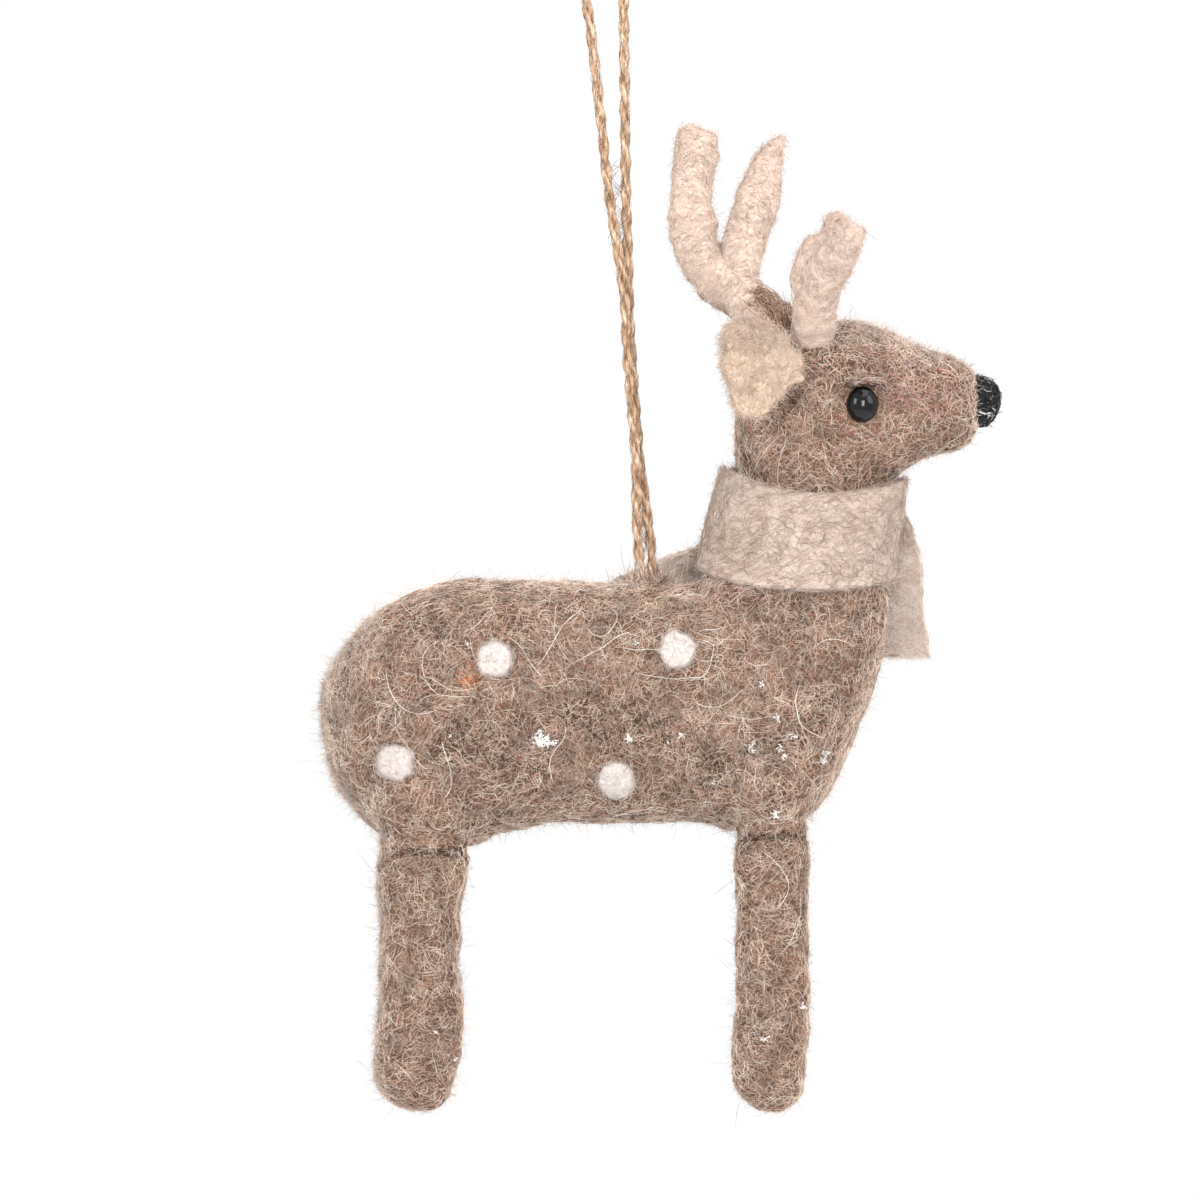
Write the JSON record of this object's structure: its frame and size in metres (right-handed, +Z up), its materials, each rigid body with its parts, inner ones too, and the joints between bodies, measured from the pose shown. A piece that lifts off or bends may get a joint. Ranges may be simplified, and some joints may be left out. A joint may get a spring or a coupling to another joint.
{
  "type": "hanging felt deer ornament",
  "caption": "Needle-felted wool deer with cream antlers, white spots and a felt scarf, hanging from a jute twine loop.",
  "frame": {"origin": "top of the twine loop, on the twine's centreline, where the ornament hangs", "axes": "+Z up along the hanging twine, +X from the tail to the nose, +Y to the deer's left"},
  "size_m": [0.0954, 0.0486, 0.1723],
  "materials": {
    "wool": "needle-felted brown-grey wool, fuzzy",
    "antler_wool": "wrapped cream wool",
    "ear_felt": "soft cream felt",
    "scarf_felt": "flat sheet felt",
    "white_wool": "white wool, fuzzy",
    "black_wool": "black wool, slightly glossy",
    "bead": "glossy black",
    "jute": "two-ply twisted twine",
    "steel_wire": "bare wire"
  },
  "bodies": {
    "hanger": {"twine_loop": "jute"},
    "deer": {"torso": "wool", "head": "wool", "nose": "black_wool", "neck_wire": "steel_wire", "leg_front_near": "wool", "leg_wire_front_near": "steel_wire", "leg_front_far": "wool", "leg_wire_front_far": "steel_wire", "leg_hind_near": "wool", "leg_wire_hind_near": "steel_wire", "leg_hind_far": "wool", "leg_wire_hind_far": "steel_wire", "antler_near": "antler_wool", "antler_tine_near": "antler_wool", "antler_wire_near": "steel_wire", "tine_wire_near": "steel_wire", "ear_near": "ear_felt", "eye_near": "bead", "eye_wire_near": "steel_wire", "antler_far": "antler_wool", "antler_tine_far": "antler_wool", "antler_wire_far": "steel_wire", "tine_wire_far": "steel_wire", "ear_far": "ear_felt", "eye_far": "bead", "eye_wire_far": "steel_wire", "spot_near_1": "white_wool", "spot_near_2": "white_wool", "spot_near_3": "white_wool", "spot_near_4": "white_wool", "spot_far_1": "white_wool", "spot_far_2": "white_wool", "spot_far_3": "white_wool", "spot_far_4": "white_wool", "scarf": "scarf_felt", "twine_anchor": "jute"}
  },
  "joints": [
    {"name": "hang_swing", "type": "hinge", "parent": "hanger", "child": "deer", "pos_m": [0.00732, 0, -0.09686], "axis": [0, 1, 0], "range_deg": [-25, 30]}
  ]
}
